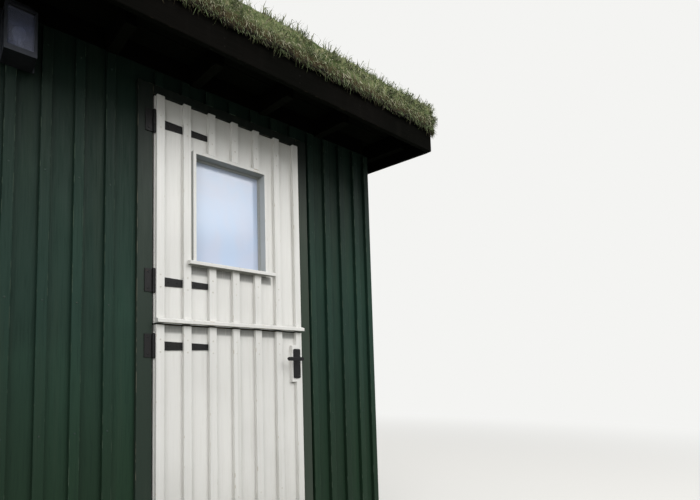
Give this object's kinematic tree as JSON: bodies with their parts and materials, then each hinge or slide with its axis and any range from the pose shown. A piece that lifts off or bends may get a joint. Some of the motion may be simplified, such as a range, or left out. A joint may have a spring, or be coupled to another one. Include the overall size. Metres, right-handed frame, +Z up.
{
  "type": "camping pod",
  "caption": "Boarded timber camping pod on runners, with a windowed stable door, a wall lantern and a low-pitched turf roof with deep overhanging eaves.",
  "frame": {"origin": "at ground level, under the middle of the plan", "axes": "+Z up; the front wall with the door faces -Y; +X runs along the ridge, to the right as seen from the front"},
  "size_m": [3.938, 3.236, 2.7361],
  "materials": {
    "wall_paint": "dark green stain, satin, over sawn boards",
    "batten_paint": "dark green stain, satin, over sawn battens",
    "frame_paint": "grey-green paint, satin, weathered",
    "door_paint": "off-white paint, satin, weathered",
    "roof_timber": "dark stained softwood",
    "floor_timber": "planed softwood boards",
    "treated_timber": "pressure-treated sawn softwood",
    "turf": "moss and grass mat on soil",
    "black_iron": "black paint on steel, satin",
    "lantern_metal": "grey powder coat",
    "lantern_glass": "clear",
    "window_glass": "clear"
  },
  "bodies": {
    "root": {"runners": "treated_timber", "rim_joists": "treated_timber", "floor_joists": "treated_timber", "floor_deck": "floor_timber", "base_boards": "batten_paint", "front_wall_left": "wall_paint", "front_wall_right": "wall_paint", "front_wall_head": "wall_paint", "back_wall": "wall_paint", "left_wall": "wall_paint", "right_wall": "wall_paint", "front_battens": "batten_paint", "back_battens": "batten_paint", "left_battens": "batten_paint", "right_battens": "batten_paint", "corner_trims": "batten_paint", "door_jambs": "frame_paint", "door_head": "frame_paint", "threshold": "frame_paint", "ridge_beam": "roof_timber", "rafters": "roof_timber", "eaves_blocking": "roof_timber", "roof_deck_front": "roof_timber", "roof_deck_back": "roof_timber", "fascia_boards": "roof_timber", "verge_boards": "roof_timber", "turf_front": "turf", "turf_back": "turf", "hinge_plates": "black_iron", "hinge_pins": "black_iron", "lantern_body": "lantern_metal", "lantern_glass": "lantern_glass"},
    "top_leaf": {"top_leaf_boards": "door_paint", "top_leaf_battens": "door_paint", "top_leaf_ledges": "door_paint", "window_frame": "door_paint", "window_glass": "window_glass", "weather_bar": "door_paint", "top_leaf_straps": "black_iron"},
    "bottom_leaf": {"bottom_leaf_boards": "door_paint", "bottom_leaf_battens": "door_paint", "bottom_leaf_ledges": "door_paint", "bottom_leaf_straps": "black_iron", "handle_plates": "black_iron"},
    "lever": {"lever": "black_iron"}
  },
  "joints": [
    {"name": "top_leaf_hinge", "type": "hinge", "parent": "root", "child": "top_leaf", "pos_m": [0.385, -1.226, 1.809], "axis": [0, 0, -1], "range_deg": [0, 95]},
    {"name": "bottom_leaf_hinge", "type": "hinge", "parent": "root", "child": "bottom_leaf", "pos_m": [0.385, -1.226, 0.8145], "axis": [0, 0, -1], "range_deg": [0, 95]},
    {"name": "lever_turn", "type": "hinge", "parent": "bottom_leaf", "child": "lever", "pos_m": [1.176, -1.24, 1.123], "axis": [0, -1, 0], "range_deg": [0, 40], "stiffness_Nm_per_rad": 1.2, "springref_deg": -11.46}
  ]
}
